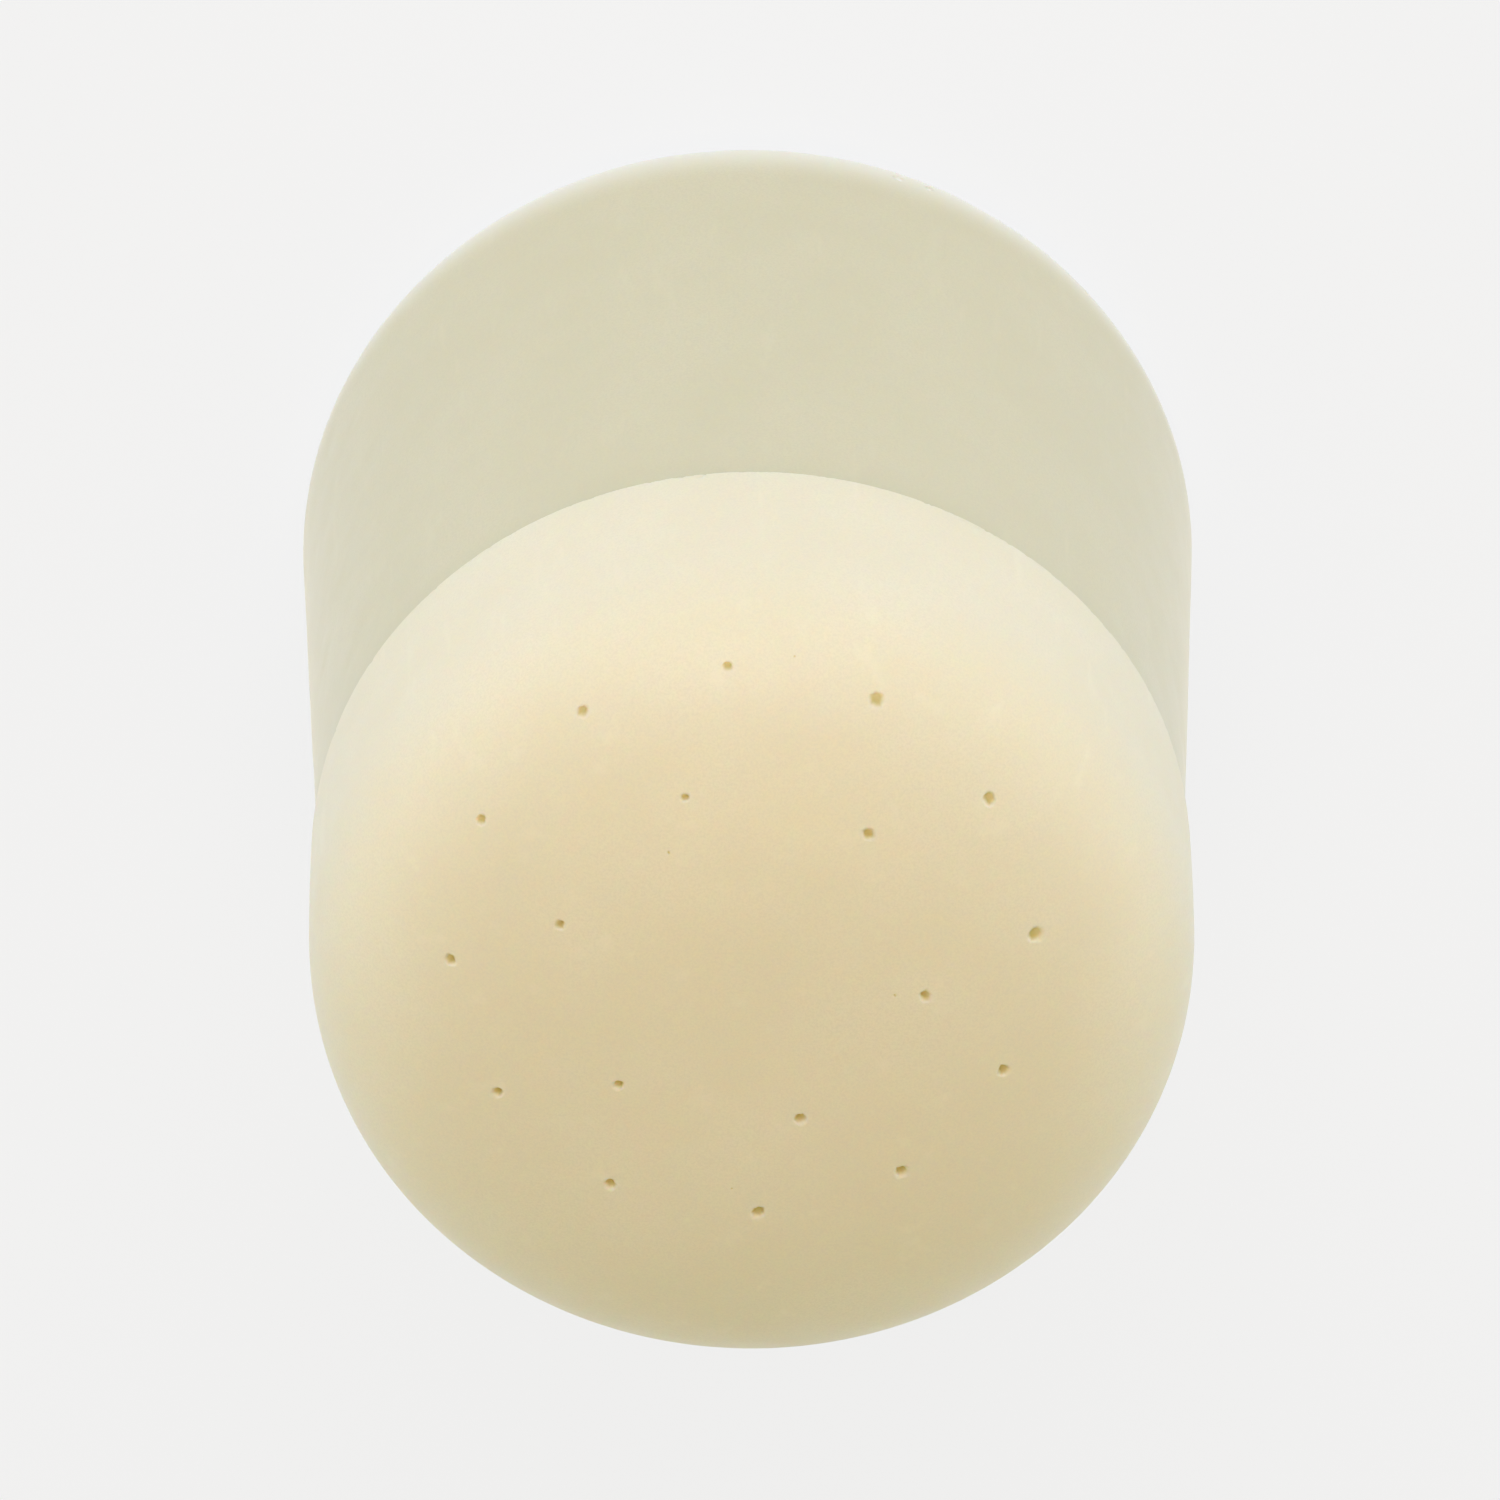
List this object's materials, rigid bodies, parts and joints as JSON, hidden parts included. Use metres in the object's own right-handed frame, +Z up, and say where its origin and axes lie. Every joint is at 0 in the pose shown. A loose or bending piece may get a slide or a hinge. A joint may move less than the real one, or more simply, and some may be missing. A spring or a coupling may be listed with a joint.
{
  "type": "shaving soap puck",
  "caption": "Round pressed shaving soap: a tall, slightly tapered drum under a domed crown with two off-centre rings of small pin pits, flat base to rest on.",
  "frame": {"origin": "centre of the flat base, on the puck's axis, where it stands on a surface", "axes": "+Z up along the puck's axis, from the base to the top of the dome; X and Y are free because the puck is round, and -Y is the side towards which the two rings of pits are offset"},
  "size_m": [0.0582, 0.0582, 0.069],
  "materials": {
    "body_soap": "pressed soap, pale grey-cream, satin, slightly translucent",
    "crown_soap": "pressed soap, warm cream, satin, slightly translucent"
  },
  "bodies": {
    "root": {"soap_body": "body_soap", "domed_crown": "crown_soap"}
  },
  "joints": []
}
